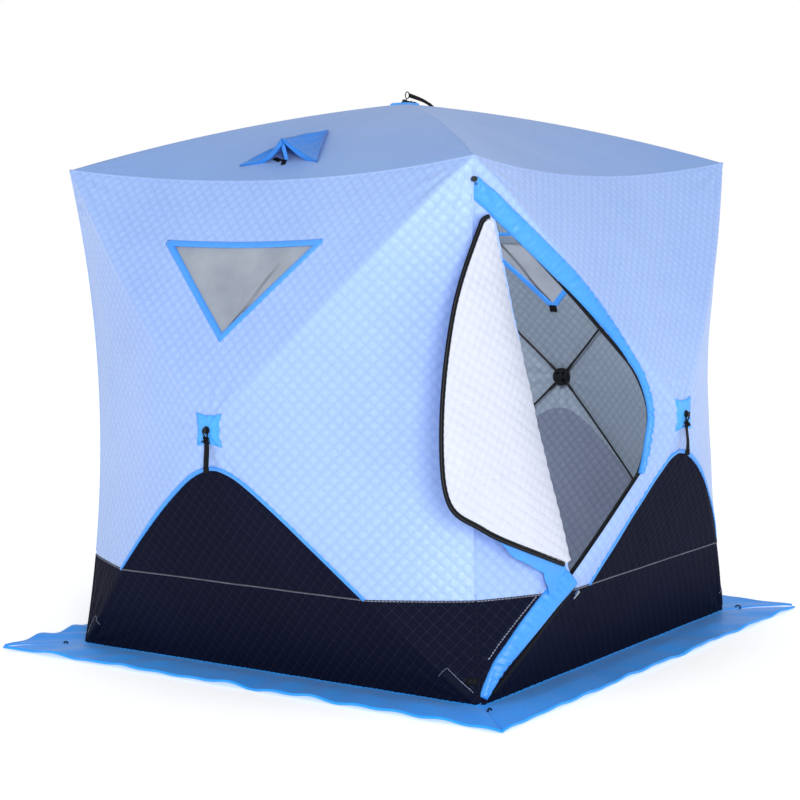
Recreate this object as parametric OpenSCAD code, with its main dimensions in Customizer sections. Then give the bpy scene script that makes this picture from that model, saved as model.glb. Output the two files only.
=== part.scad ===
// Pop-up ice fishing shelter: an insulated cloth cube held out by five spring-pole hubs.
// Origin at the middle of the floor, on the ground. +Z is up and -Y is the door wall.

/* [Shelter] */
// Side of the cube, corner to corner
side = 1800; // [1750:10:1850]
// How far the cloth of a wall stands out at its hub
wall_bulge = 290; // [280:5:300]
// How far the cloth of the roof stands up at its hub
roof_bulge = 240; // [230:5:250]
// Thickness of the quilted cloth
cloth_t = 6; // [4:0.5:7]
// How far the free edges of the cube are drawn in at mid length
edge_sag = 60; // [0:5:65]
// How far a pole bows out from the straight
pole_bow = 30; // [10:2:34]

/* [Frame] */
// Pole length, hinge pin to tip
pole_len = 1185; // [1183:1:1187]
// Pole diameter
pole_d = 8.5; // [8:0.1:9]
// Hub diameter
hub_d = 76; // [74:1:80]
// Hub thickness
hub_t = 24; // [22:1:24]
// Distance from the hub axis to a pole's hinge pin
pin_ring = 28; // [27:0.5:29]

/* [Cloth details] */
// Height of the dark bottom band
band_h = 345; // [300:5:350]
// Width of the snow skirt on the ground
skirt_w = 236; // [200:2:240]
// Width of a window along its top edge
window_w = 675; // [600:5:680]
// Height of a window's top edge above the wall's middle
window_top = 652.5; // [600:2.5:660]
// Width of the binding round a window
binding_w = 20; // [15:1:25]

/* [Door] */
// Angle of the open door flap, from shut
flap_open = 170; // [150:1:172]
// Width of the zip tape
zip_w = 10; // [8:1:11]

/* [Hidden] */
$fn = 48;
WALLS = ["front", "right", "back", "left", "roof"];
CORNERS = ["upper_right", "upper_left", "lower_left", "lower_right"];
FRONT = 0;
RIGHT = 1;
BACK = 2;
LEFT = 3;
ROOF = 4;
TOP = 0;
SIDE_LEFT = 1;
BOTTOM = 2;
SIDE_RIGHT = 3;
half = side / 2;
gap = 1;
frame_inset = 30;
frame_half = half - frame_inset;
// The hinge pins of a hub lie this far behind the cloth
pin_depth = 26;
cloth_start = 44;
// Hinge pins, and the pole knuckles on them
pin_r = 2.5;
pin_len = 24;
knuckle_r = 7;
knuckle_w = 9.6;
knuckle_play = 0.05;
// The pull strap's eye stands this far over the hub's face
eye_rise = 22;
eye_end = 8;
strap_pin_r = 3;
// Metal sleeves on a pole: at the hinge, at the middle joint and at the tip
sleeve_r = 6;
sleeve_from = 14;
sleeve_len = 40;
neck_r = 4.7;
joint_r = 5.2;
joint_len = 70;
tip_len = 32;
// Open sockets of the corner boots
socket_r = 11;
socket_wall = 2.5;
socket_len = 60;
socket_reach = 12;
grid_rows = 6;
grid_cols = 8;

function bulge(w) = w == ROOF ? roof_bulge : wall_bulge;
// Height of a hub's pin plane over the frame plane, and the poles' slope that gives it
function pin_rise(w) = bulge(w) + half - frame_half - pin_depth;
function pole_slope(w) = asin(pin_rise(w) / pole_len);
// The arc of a bowed pole
arc_r = (pole_len * pole_len / 4 + pole_bow * pole_bow) / (2 * pole_bow);
arc_half = asin(pole_len / 2 / arc_r);

// Cloth shape, in the axes of a wall: u to the right, v up, n out of the shelter.
// m is the distance from the middle towards the facet's edge, and t runs from -1 to 1 across it.
function crease(w, m) = half + bulge(w) * (1 - m / half) + 4 * pole_bow * (m / half) * (1 - m / half);
function sag(m, t) = edge_sag * pow(m / half, 2) * (1 - t * t);
function drawn_in(w, facet) = w != ROOF && facet == BOTTOM ? 0 : 1;
function cloth_n(w, facet, m, t) = crease(w, m) - sag(m, t) * drawn_in(w, facet);
// How far from the middle a spot of the cloth was before its sagging edge drew it in to x
function before_sag(x, t) = x + sag(x + sag(x, t), t);
// Height of the roof's left facet above the middle of the cube
function roof_n(p) = cloth_n(ROOF, SIDE_LEFT, before_sag(-p.x, p.y / p.x), p.y / p.x);
function sheet_point(w, facet, m, t, lift) =
    [t * m, m - sag(m, t) * drawn_in(w, facet), cloth_n(w, facet, m, t) + lift];

// Outermost distance of a wall's cloth, so that neighbouring walls meet without overlapping
function edge_m(w) = half - (w == FRONT || w == BACK ? 0.5 : cloth_t + 2 * gap);

// Door outline in the axes of the front wall: two straight sides and a round end beside the hub
fold_top = [-840, 700];
fold_foot = [-534, -540];
round_centre = [-562, -56];
round_r = 363;
function tangent_angle(p, turn) =
    let (d = p - round_centre)
    atan2(d.y, d.x) + turn * acos(round_r / norm(d));
arc_from = tangent_angle(fold_foot, 1);
arc_to = tangent_angle(fold_top, -1);
arc_steps = 16;
function door_outline() = concat(
    [fold_foot],
    [for (i = [0:arc_steps])
        let (a = arc_from + (arc_to - arc_from) * i / arc_steps)
        round_centre + round_r * [cos(a), sin(a)]],
    [fold_top]
);

// Axes of the shut door flap: x down the fold line, y across the flap, z outwards
function door_3d(p, m) = [p.x, p.y, cloth_n(FRONT, SIDE_LEFT, m, p.y / m)];
fold_a = door_3d(fold_top, -fold_top.x);
fold_b = door_3d(fold_foot, -fold_foot.x);
round_tip = round_centre + round_r * [1, 0];
fold_c = door_3d(round_tip, -round_tip.x);
flap_x = (fold_b - fold_a) / norm(fold_b - fold_a);
flap_z_raw = cross(flap_x, fold_c - fold_a);
flap_z = flap_z_raw / norm(flap_z_raw);
flap_y = cross(flap_z, flap_x);
flap_lift = 8;
fold_pivot = fold_a + flap_lift * flap_z;
// A point of the outline, moved onto the flap's plane along the wall's normal, in the flap's axes
function on_flap(p) =
    let (n = fold_a.z - ((p.x - fold_a.x) * flap_z.x + (p.y - fold_a.y) * flap_z.y) / flap_z.z)
    let (d = [p.x, p.y, n] - fold_a)
    [d * flap_x, d * flap_y];

// Roof vent, in the axes of the roof
vent_at = [-662, 24];
vent_r = 42;
prop_at = [-712, 14];
prop_z = roof_n(prop_at) + 5;
prop_len = 66;
prop_angle = 112;
roof_strap_turn = 70;
roof_strap_dip = 10;

// Puts a wall's own axes in place: u to the right, v up and n outwards, from the cube's middle
module on_wall(w) {
    translate([0, 0, half])
        rotate(w == ROOF ? [0, 0, 0] : [90, 0, 90 * w])
            children();
}

// A curved cloth facet between two lifts over the outer face
module sheet(w, facet, low, high, m_from, m_to) {
    points = [for (lift = [low, high]) for (i = [0:grid_rows]) for (j = [0:grid_cols])
        let (m = m_from + (m_to - m_from) * i / grid_rows)
        let (t = (2 * j / grid_cols - 1) * (1 - gap / m))
        sheet_point(w, facet, m, t, lift)];
    cols = grid_cols + 1;
    layer = cols * (grid_rows + 1);
    top = [for (i = [0:grid_rows - 1]) for (j = [0:grid_cols - 1])
        let (k = layer + i * cols + j)
        each [[k, k + cols, k + 1], [k + 1, k + cols, k + cols + 1]]];
    under = [for (i = [0:grid_rows - 1]) for (j = [0:grid_cols - 1])
        let (k = i * cols + j)
        each [[k, k + 1, k + cols], [k + 1, k + cols + 1, k + cols]]];
    inner_edge = [for (j = [0:grid_cols - 1]) [j, j + layer, j + layer + 1, j + 1]];
    last = grid_rows * cols;
    outer_edge = [for (j = [last:last + grid_cols - 1]) [j + 1, j + layer + 1, j + layer, j]];
    left_edge = [for (i = [0:grid_rows - 1])
        let (k = i * cols)
        [k + cols, k + cols + layer, k + layer, k]];
    right_edge = [for (i = [0:grid_rows - 1])
        let (k = i * cols + grid_cols)
        [k, k + layer, k + cols + layer, k + cols]];
    quads = concat(inner_edge, outer_edge, left_edge, right_edge);
    sides = [for (q = quads) each [[q[0], q[1], q[2]], [q[0], q[2], q[3]]]];
    rotate([0, 0, 90 * facet])
        polyhedron(points = points, faces = concat(top, under, sides), convexity = 4);
}

// The part of a facet that lies over a flat outline, drawn in the wall's axes
module cut_sheet(w, facet, low, high) {
    intersection() {
        sheet(w, facet, low, high, cloth_start, edge_m(w));
        linear_extrude(3 * half)
            children();
    }
}

module cloth_facet(w, facet) {
    sheet(w, facet, -cloth_t, 0, cloth_start, edge_m(w));
}

// Everything on one side of a line through two points, drawn as a large square
module beyond(a, b, shift) {
    translate(a)
        rotate(atan2(b.y - a.y, b.x - a.x))
            translate([-side, shift])
                square(2 * side);
}

module window_outline(inset) {
    half_w = window_w / 2;
    offset(delta = -inset)
        polygon([[-half_w, window_top], [0, window_top - half_w], [half_w, window_top]]);
}

module door_shape(inset) {
    offset(delta = -inset)
        polygon(door_outline());
}

module above_band() {
    translate([-side, band_h - half + gap])
        square(2 * side);
}

module hub(w) {
    slot_w = 11;
    slot_from = 16;
    eye_r = 9;
    boss_h = 4;
    color("#22262c")
        on_wall(w)
            translate([0, 0, frame_half + pin_rise(w)])
                difference() {
                    union() {
                        translate([0, 0, -hub_t / 2])
                            cylinder(r = hub_d / 2, h = hub_t);
                        translate([0, 0, -hub_t / 2 - boss_h])
                            cylinder(r = slot_from - 2, h = boss_h + 1);
                        cylinder(r = eye_r, h = hub_t / 2 + eye_rise + eye_end);
                    }
                    for (k = [0:3])
                        rotate(45 + 90 * k) {
                            translate([slot_from, -slot_w / 2, -hub_t])
                                cube([hub_d, slot_w, 2 * hub_t]);
                            translate([pin_ring, 0, 0])
                                rotate([90, 0, 0])
                                    cylinder(r = pin_r, h = pin_len, center = true);
                        }
                    rotate(w == ROOF ? roof_strap_turn : 0)
                        translate([0, 0, hub_t / 2 + eye_rise])
                            rotate([0, 90, 0])
                                cylinder(r = strap_pin_r + knuckle_play, h = 4 * eye_r, center = true);
                }
}

module hub_pins(w) {
    color("silver")
        on_wall(w)
            translate([0, 0, frame_half + pin_rise(w)])
                for (k = [0:3])
                    rotate(45 + 90 * k)
                        translate([pin_ring, 0, 0])
                            rotate([90, 0, 0])
                                cylinder(r = pin_r, h = pin_len, center = true);
}

// A cord loop through the hub's eye, a knot, and a webbing tail to pull on
module pull_strap(w) {
    leg = 34;
    leg_x = 13.5;
    leg_r = 2.5;
    lean = 12;
    knot_r = 9;
    knot_h = 14;
    tail = 112;
    tail_w = 20;
    tail_t = 3;
    color("#191b20")
        on_wall(w)
            translate([0, 0, frame_half + pin_rise(w)])
                rotate(w == ROOF ? roof_strap_turn : 0)
                    translate([0, 0, hub_t / 2 + eye_rise])
                        rotate([w == ROOF ? roof_strap_dip : 0, 0, 0]) {
                            rotate([0, 90, 0])
                                cylinder(r = strap_pin_r, h = 2 * leg_x + 2, center = true);
                            for (side = [-1, 1])
                                translate([side * leg_x, 0, 0])
                                    rotate([90, 0, -side * lean])
                                        cylinder(r = leg_r, h = leg);
                            translate([0, 6 - leg, 0])
                                rotate([90, 0, 0])
                                    cylinder(r = knot_r, h = knot_h);
                            translate([-tail_w / 2, -leg - tail, -tail_t / 2])
                                cube([tail_w, tail, tail_t]);
                        }
}

// One bowed pole in the hinge pin's axes: x runs to the tip, z is the bow
module bowed_rod(radius, from_x, to_x) {
    start = asin((from_x - pole_len / 2) / arc_r);
    end = asin((to_x - pole_len / 2) / arc_r);
    translate([pole_len / 2, 0, pole_bow - arc_r])
        rotate([90, 0, 0])
            rotate([0, 0, 90 - end])
                rotate_extrude(angle = end - start, $fn = 400)
                    translate([arc_r, 0])
                        circle(r = radius, $fn = 24);
}

module pole(w, k) {
    color("#15171a")
        on_wall(w)
            rotate(45 + 90 * k)
                translate([pin_ring, 0, frame_half + pin_rise(w)])
                    rotate([0, pole_slope(w), 0])
                        difference() {
                            union() {
                                rotate([90, 0, 0])
                                    cylinder(r = knuckle_r, h = knuckle_w, center = true);
                                rotate([0, -arc_half, 0])
                                    translate([knuckle_r - 3, 0, 0])
                                        rotate([0, 90, 0])
                                            cylinder(r = neck_r, h = sleeve_from - 2);
                                rotate([0, -arc_half, 0])
                                    translate([sleeve_from, 0, 0])
                                        rotate([0, 90, 0])
                                            cylinder(r = sleeve_r, h = sleeve_len);
                                bowed_rod(pole_d / 2, sleeve_len, pole_len - tip_len + 20);
                                bowed_rod(joint_r, (pole_len - joint_len) / 2, (pole_len + joint_len) / 2);
                                translate([pole_len, 0, 0])
                                    rotate([0, arc_half, 0])
                                        translate([-tip_len, 0, 0])
                                            rotate([0, 90, 0])
                                                cylinder(r = sleeve_r, h = tip_len);
                            }
                            rotate([90, 0, 0])
                                cylinder(r = pin_r + knuckle_play, h = 2 * sleeve_r, center = true);
                        }
}

// The axis of one pole's socket: x runs outwards to the corner, zero at the flat pole's tip
module socket_axis(w, k) {
    on_wall(w)
        rotate(45 + 90 * k)
            translate([pin_ring + pole_len, 0, frame_half])
                rotate([0, arc_half, 0])
                    rotate([0, 90, 0])
                        children();
}

// A corner boot of open sockets that the pole tips slide in; each route is [wall, corner]
module boot(routes) {
    difference() {
        for (r = routes)
            socket_axis(r[0], r[1])
                translate([0, 0, socket_reach - socket_len])
                    cylinder(r = socket_r + socket_wall, h = socket_len);
        for (r = routes)
            socket_axis(r[0], r[1])
                translate([0, 0, -socket_len])
                    cylinder(r = socket_r, h = socket_len + socket_reach / 2);
    }
}

module top_boots() {
    color("#1b1e24")
        for (c = [0:3])
            boot([[c, 1], [(c + 3) % 4, 0], [ROOF, (c + 2) % 4]]);
}

module bottom_boots() {
    color("#1b1e24")
        for (c = [0:3])
            boot([[c, 2], [(c + 3) % 4, 3]]);
}

// Cloth of a wall over its dark lower part
module plain_cloth(w) {
    color("#a0bef2")
        on_wall(w) {
            cloth_facet(w, TOP);
            for (facet = [SIDE_LEFT, SIDE_RIGHT])
                cut_sheet(w, facet, -cloth_t, 0)
                    above_band();
        }
}

module window_cloth(w) {
    color("#a0bef2")
        on_wall(w) {
            cut_sheet(w, TOP, -cloth_t, 0)
                difference() {
                    square(2 * side, center = true);
                    window_outline(0);
                }
            for (facet = [SIDE_LEFT, SIDE_RIGHT])
                cut_sheet(w, facet, -cloth_t, 0)
                    above_band();
        }
}

// The door wall: its left facet is parted round the door opening
module door_cloth() {
    split_v = -50;
    color("#a0bef2")
        on_wall(FRONT) {
            cloth_facet(FRONT, TOP);
            cut_sheet(FRONT, SIDE_RIGHT, -cloth_t, 0)
                above_band();
            cut_sheet(FRONT, SIDE_LEFT, -cloth_t, 0)
                difference() {
                    above_band();
                    beyond(fold_top, fold_foot, -gap);
                }
            cut_sheet(FRONT, SIDE_LEFT, -cloth_t, 0)
                difference() {
                    intersection() {
                        beyond(fold_top, fold_foot, 0);
                        translate([-side, split_v])
                            square(2 * side);
                    }
                    door_shape(0);
                }
            cut_sheet(FRONT, SIDE_LEFT, -cloth_t, 0)
                difference() {
                    intersection() {
                        beyond(fold_top, fold_foot, 0);
                        above_band();
                    }
                    translate([-side, split_v - gap])
                        square(2 * side);
                    door_shape(0);
                }
        }
}

// The dark arch and bottom band of a wall
module lower_cloth(w) {
    color("#1a1c33")
        on_wall(w) {
            cloth_facet(w, BOTTOM);
            for (facet = [SIDE_LEFT, SIDE_RIGHT])
                cut_sheet(w, facet, -cloth_t, 0)
                    difference() {
                        square(2 * side, center = true);
                        translate([0, -gap])
                            above_band();
                    }
        }
}

module roof_cloth() {
    color("#8ca8d8")
        on_wall(ROOF) {
            for (facet = [TOP, BOTTOM, SIDE_RIGHT])
                cloth_facet(ROOF, facet);
            cut_sheet(ROOF, SIDE_LEFT, -cloth_t, 0)
                difference() {
                    square(2 * side, center = true);
                    translate(vent_at)
                        circle(r = vent_r + 0.5);
                }
        }
}

module window_film(w) {
    film_outside = -2;
    film_t = 1.5;
    color("#a0a8b4")
        on_wall(w)
            cut_sheet(w, TOP, film_outside - film_t, film_outside)
                window_outline(binding_w + gap / 2);
}

module window_bindings() {
    color("#4aa0f5")
        for (w = [LEFT, RIGHT])
            on_wall(w)
                cut_sheet(w, TOP, -cloth_t, 1)
                    difference() {
                        window_outline(0.5);
                        window_outline(binding_w);
                    }
}

// Flat cloth flaps on the ground, mitred at the corners
skirt_t = 4;
module snow_skirt() {
    inner = half + 5;
    outer = half + skirt_w;
    color("#2e80d8")
        for (w = [0:3])
            rotate(90 * w)
                linear_extrude(skirt_t)
                    polygon([[-inner + gap, -inner], [inner - gap, -inner],
                             [outer - gap, -outer], [-outer + gap, -outer]]);
}

// A cord loop that stands on a small patch at each corner of the skirt
module anchor_loops() {
    loop_at = [-half - 40, -half - 62];
    patch_size = [28, 16, 2];
    loop_r = 13;
    cord_w = 4;
    loop_w = 5;
    below = 2 * loop_r + cord_w;
    color("#15171a")
        for (w = [0:3])
            rotate(90 * w)
                translate([loop_at.x, loop_at.y, skirt_t]) {
                    translate([-patch_size.x / 2, -patch_size.y / 2, 0])
                        cube(patch_size);
                    translate([0, 0, patch_size.z])
                        rotate([90, 0, 0])
                            difference() {
                                cylinder(r = loop_r, h = loop_w, center = true);
                                cylinder(r = loop_r - cord_w, h = loop_w + 1, center = true);
                                translate([-below / 2, -below - 1, -loop_w])
                                    cube([below, below, 2 * loop_w]);
                            }
                }
}

// The flap's fold line and its opening angle
module on_fold(angle) {
    on_wall(FRONT)
        translate(fold_pivot)
            multmatrix([[flap_x.x, flap_y.x, flap_z.x, 0],
                        [flap_x.y, flap_y.y, flap_z.y, 0],
                        [flap_x.z, flap_y.z, flap_z.z, 0]])
                rotate([angle, 0, 0])
                    children();
}

module door_flap() {
    hem = zip_w + 5;
    color("#e8ecfa")
        on_fold(flap_open) {
            translate([0, 0, -flap_lift - cloth_t])
                linear_extrude(cloth_t - 1)
                    intersection() {
                        offset(delta = -hem)
                            polygon([for (p = door_outline()) on_flap(p)]);
                        translate([-side, hem])
                            square(2 * side);
                    }
        }
}

// Zip tape round the opening, and its shut run down to the corner under the storm strip
zip_foot = [-850, -862];
slider_from = fold_foot + [6, -14];
module door_zip() {
    shut_low = 0.3;
    shut_high = 2;
    color("#15171a")
        on_wall(FRONT) {
            cut_sheet(FRONT, SIDE_LEFT, -cloth_t, -1)
                difference() {
                    intersection() {
                        door_shape(0.5);
                        beyond(fold_top, fold_foot, zip_w + 2);
                    }
                    door_shape(zip_w);
                }
            cut_sheet(FRONT, SIDE_LEFT, shut_low, shut_high)
                hull()
                    for (p = [slider_from, zip_foot])
                        translate(p)
                            circle(r = zip_w / 2, $fn = 16);
        }
}

// The zip's slider: a body on the shut teeth and a pull tab over it
module zip_slider() {
    body_size = [20, 11, 7];
    tab_size = [30, 6, 2];
    over_cloth = 11;
    run = door_3d(zip_foot, -zip_foot.x) - door_3d(slider_from, -slider_from.x);
    spot = door_3d(slider_from, -slider_from.x);
    color("silver")
        on_wall(FRONT)
            translate(spot + [0, 0, over_cloth])
                rotate(atan2(run.y, run.x))
                    rotate([0, -atan2(run.z, norm([run.x, run.y])), 0]) {
                        translate([4, -body_size.y / 2, -4])
                            cube(body_size);
                        translate([8, -tab_size.y / 2, 2.5])
                            cube(tab_size);
                    }
}

// Cloth cover of the door's upper zip
module door_storm_flap() {
    flap_w = 41;
    foot_v = -120;
    past_fold = 30;
    color("#5ab0ff")
        on_wall(FRONT)
            cut_sheet(FRONT, SIDE_LEFT, 0.5, 3)
                difference() {
                    intersection() {
                        door_shape(-flap_w - gap);
                        beyond(fold_top, fold_foot, past_fold);
                        translate([-side, foot_v])
                            square(2 * side);
                    }
                    door_shape(-gap);
                }
}

// The toggle stands out of the corner seam
toggle_v = 825;
toggle_gap = 2.5;
toggle_out = half - sag(half, toggle_v / half) + toggle_gap;
module door_toggle() {
    toggle_r = 9;
    toggle_len = 22;
    color("#15171a")
        on_wall(FRONT)
            translate([-toggle_out, toggle_v, toggle_out])
                rotate([0, -45, 0])
                    cylinder(r = toggle_r, h = toggle_len);
}

// A flat three-cornered panel, thickened upwards
module panel(corners, panel_t) {
    polyhedron(
        points = [for (lift = [0, panel_t]) for (p = corners) p + [0, 0, lift]],
        faces = [[0, 1, 2], [5, 4, 3], [0, 3, 4], [0, 4, 1], [1, 4, 5], [1, 5, 2], [2, 5, 3], [2, 3, 0]]
    );
}

// A cloth hood raised over the roof vent: two panels that meet in a ridge, with a raised mouth
module vent_hood() {
    top_end = [-466, 12];
    left_end = [-753, 198];
    right_end = [-739, -143];
    hood_t = 2.5;
    rise = 8;
    peak_ahead = 34;
    peak_over = 69;
    peak = [prop_at.x - peak_ahead, prop_at.y, prop_z + peak_over];
    function roof_spot(p) = [p.x, p.y, roof_n(p) + rise];
    color("#4a90e8")
        on_wall(ROOF) {
            translate([0, gap, 0])
                panel([roof_spot(left_end), peak, roof_spot(top_end)], hood_t);
            translate([0, -gap, 0])
                panel([peak, roof_spot(right_end), roof_spot(top_end)], hood_t);
        }
}

module vent_mesh() {
    mesh_depth = 4;
    mesh_t = 1.5;
    color("#4a5058")
        on_wall(ROOF)
            cut_sheet(ROOF, SIDE_LEFT, -mesh_depth, mesh_t - mesh_depth)
                translate(vent_at)
                    circle(r = vent_r);
}

// Stiff strap that stands on the roof and holds up the hood's mouth
module vent_prop() {
    prop_w = 16;
    prop_t = 2.4;
    foot_r = 2;
    foot_w = 18;
    color("#3c86e0")
        on_wall(ROOF)
            translate([prop_at.x, prop_at.y, prop_z])
                rotate([0, -prop_angle, 0]) {
                    rotate([90, 0, 0])
                        cylinder(r = foot_r, h = foot_w, center = true);
                    translate([0, -prop_w / 2, -prop_t / 2])
                        cube([prop_len, prop_w, prop_t]);
                }
}

for (w = [FRONT:ROOF]) {
    hub(w);
    hub_pins(w);
    pull_strap(w);
    for (k = [0:3])
        pole(w, k);
}
for (w = [FRONT:LEFT])
    lower_cloth(w);
door_cloth();  // front_cloth
window_cloth(RIGHT);  // right_cloth
plain_cloth(BACK);  // back_cloth
window_cloth(LEFT);  // left_cloth
roof_cloth();
top_boots();
bottom_boots();
window_film(LEFT);  // left_window
window_film(RIGHT);  // right_window
window_bindings();
snow_skirt();
anchor_loops();
door_flap();
door_zip();
zip_slider();
door_storm_flap();
door_toggle();
vent_hood();
vent_mesh();
vent_prop();
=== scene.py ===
"""Looks of the pop-up ice fishing shelter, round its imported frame. Metres, +Z up, -Y is the door wall."""

import math
import random

import bpy
import numpy as np
from mathutils import Matrix, Vector


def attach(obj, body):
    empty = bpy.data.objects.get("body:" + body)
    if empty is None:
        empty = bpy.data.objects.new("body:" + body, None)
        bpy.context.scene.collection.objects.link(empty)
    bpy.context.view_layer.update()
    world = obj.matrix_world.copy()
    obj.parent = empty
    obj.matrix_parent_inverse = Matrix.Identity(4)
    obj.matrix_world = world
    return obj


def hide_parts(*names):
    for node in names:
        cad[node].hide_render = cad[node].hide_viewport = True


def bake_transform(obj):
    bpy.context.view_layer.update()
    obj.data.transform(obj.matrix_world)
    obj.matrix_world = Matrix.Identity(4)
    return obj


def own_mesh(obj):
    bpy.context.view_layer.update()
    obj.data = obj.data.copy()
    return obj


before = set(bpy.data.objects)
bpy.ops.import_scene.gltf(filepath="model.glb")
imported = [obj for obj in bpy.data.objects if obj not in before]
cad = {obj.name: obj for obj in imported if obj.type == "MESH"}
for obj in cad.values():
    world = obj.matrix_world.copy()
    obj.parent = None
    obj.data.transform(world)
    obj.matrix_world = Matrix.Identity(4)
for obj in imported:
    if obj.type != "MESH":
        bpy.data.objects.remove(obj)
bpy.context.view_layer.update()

# ---------------------------------------------------------------- sizes, in metres
HALF = 0.9
WALL_BULGE = 0.29
ROOF_BULGE = 0.24
POLE_BOW = 0.03
EDGE_SAG = 0.06
BAND_V = 0.345 - HALF
ARCH_TOP = 0.135
# How steeply each wall's dark arch falls on its left and right side
ARCH_FALL = {"front": (1.26, 0.82), "left": (0.94, 1.0)}
QUILT = 0.045
CLOTH_STEP = 0.0075
ROOF_STEP = 0.015
LINING_LIFT = -0.008
ROOF_LINING_LIFT = -0.006
# How far the quilting stands out on each face of the cloth
CLOTH_PUFF = 0.0026
LINING_PUFF = -0.0022
WINDOW_TOP = 0.6525
WINDOW_HALF = 0.3375
FILM_HALF_THICK = 0.0004
SKIRT_IN = 0.894
SKIRT_OUT = 1.122
STRAP_W = 0.02
STRAP_LONG = 0.112
STRAP_DROP = 0.034
STORM_FLAP_W = 0.066
STORM_STRIP_W = 0.080
FLAP_BORDER_W = 0.095

ROOT = "shelter"
X, Y, Z = np.eye(3)
# u to the right, v up and n outwards, as seen from outside
AXES = {
    "front": (X, Z, -Y),
    "right": (Y, Z, X),
    "back": (-X, Z, Y),
    "left": (-Y, Z, -X),
    "roof": (X, Y, Z),
}
WALLS = ["front", "right", "back", "left"]


def bulge(wall):
    return ROOF_BULGE if wall == "roof" else WALL_BULGE


def to_world(wall, points):
    """Points in a wall's u, v, n, moved into the row frame."""
    u, v, n = AXES[wall]
    points = np.asarray(points, float)
    return np.array([0, 0, HALF]) + points[..., 0:1] * u + points[..., 1:2] * v + points[..., 2:3] * n


# ---------------------------------------------------------------- cloth shape
def ripples(p, q, seed, count=14, low=5.0, high=16.0):
    """A smooth field of slow waves between about -1 and 1."""
    draw = random.Random(seed)
    field = np.zeros_like(p)
    for _ in range(count):
        angle = draw.uniform(0, math.tau)
        rate = draw.uniform(low, high)
        shift = draw.uniform(0, math.tau)
        field += np.sin(rate * (p * math.cos(angle) + q * math.sin(angle)) + shift)
    return field / math.sqrt(count) / 1.4


def pillow(p, q):
    """Height of the diamond quilting, from 0 on a stitch line to 1 in the middle of a diamond."""
    a = np.abs(np.sin(math.pi * (p + q) / QUILT))
    b = np.abs(np.sin(math.pi * (p - q) / QUILT))
    return np.sqrt(a * b)


def cloth(wall, p, q, lift=0.0, wrinkle=1.0):
    """The cloth's middle shape over grid coordinates p, q of a wall, in the row frame."""
    p, q = np.broadcast_arrays(np.asarray(p, float), np.asarray(q, float))
    across, up = np.abs(p), np.abs(q)
    on_side = across > up
    m = np.maximum(np.maximum(across, up), 1e-6)
    t = np.minimum(across, up) / m
    s = np.hypot(m, 0.012) / HALF
    pull = EDGE_SAG * s**2 * (1 - t**2)
    if wall != "roof":
        pull = np.where(~on_side & (q < 0), 0.0, pull)
    n = HALF + bulge(wall) * (1 - s) + 4 * POLE_BOW * s * (1 - s) - pull
    edge = np.clip((HALF - m) / 0.12, 0, 1)
    hub = np.clip((m - 0.05) / 0.15, 0, 1)
    calm = edge * hub * np.sqrt(np.clip(1 - t**2, 0, 1))
    seed = sorted(AXES).index(wall) + 3
    waves = 0.0032 * ripples(p, q, seed) + 0.0013 * ripples(p, q, seed + 20, 18, 20, 45)
    folds = pull_folds(p, q, m, t)
    n = n + wrinkle * (calm * waves + folds) + lift
    u = p - np.where(on_side, pull * np.sign(p), 0.0)
    v = q - np.where(on_side, 0.0, pull * np.sign(q))
    return to_world(wall, np.stack([u, v, n], -1))


def pull_folds(p, q, m, t):
    """Short tension folds that fan out from the hub and from the four corners."""
    turn = np.arctan2(q, p)
    near_hub = np.exp(-(((m - 0.11) / 0.07) ** 2))
    fan = 0.0022 * near_hub * np.sin(turn * 14 + 0.6) * (1 - t**4)
    corner = np.hypot(HALF - np.abs(p), HALF - np.abs(q))
    corner_turn = np.arctan2(HALF - np.abs(q), HALF - np.abs(p))
    near_corner = np.exp(-(((corner - 0.16) / 0.11) ** 2))
    fan_corner = 0.0026 * near_corner * np.sin(corner_turn * 20) * np.clip((HALF - m) / 0.03, 0, 1)
    return fan + fan_corner


# ---------------------------------------------------------------- outlines on the walls
FOLD_TOP = np.array([-0.84, 0.70])
FOLD_FOOT = np.array([-0.534, -0.54])
OPEN_TOP = np.array([-0.829, 0.723])
OPEN_FOOT = np.array([-0.552, -0.505])
ROUND_AT = np.array([-0.562, -0.056])
ROUND_R = 0.378
ARC_FROM = math.radians(-22)
TIGHT_FROM = math.radians(13)
ARC_TO = math.atan2(*(OPEN_TOP - ROUND_AT)[::-1]) - math.acos(ROUND_R / np.linalg.norm(OPEN_TOP - ROUND_AT))


def door_outline(steps=40):
    """The door's zip edge in the front wall's axes, from the foot of the opening round to its top."""
    arc = []
    for a in np.linspace(ARC_FROM, ARC_TO, steps):
        tight = max(0.0, (TIGHT_FROM - a) / (TIGHT_FROM - ARC_FROM)) ** 0.8
        arc.append(ROUND_AT + (ROUND_R - 0.030 * tight) * np.array([math.cos(a), math.sin(a)]))
    return np.array([OPEN_FOOT, *arc, OPEN_TOP])


def unit(rows):
    return rows / np.linalg.norm(rows, axis=1)[:, None]


def steps_of(path):
    """The length of each straight stretch of a path."""
    return np.linalg.norm(np.diff(np.asarray(path, float), axis=0), axis=1)


def distance_along(path):
    """How far each point of a path is from its start."""
    return np.concatenate([[0], np.cumsum(steps_of(path))])


def turns(count):
    """Even angles of one whole turn."""
    return np.linspace(0, math.tau, count, endpoint=False)


def resample(path, step):
    """The same path with points an even step apart."""
    path = np.asarray(path, float)
    along = distance_along(path)
    count = max(2, int(round(along[-1] / step)) + 1)
    at = np.linspace(0, along[-1], count)
    return np.stack([np.interp(at, along, path[:, k]) for k in range(path.shape[1])], 1)


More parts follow.
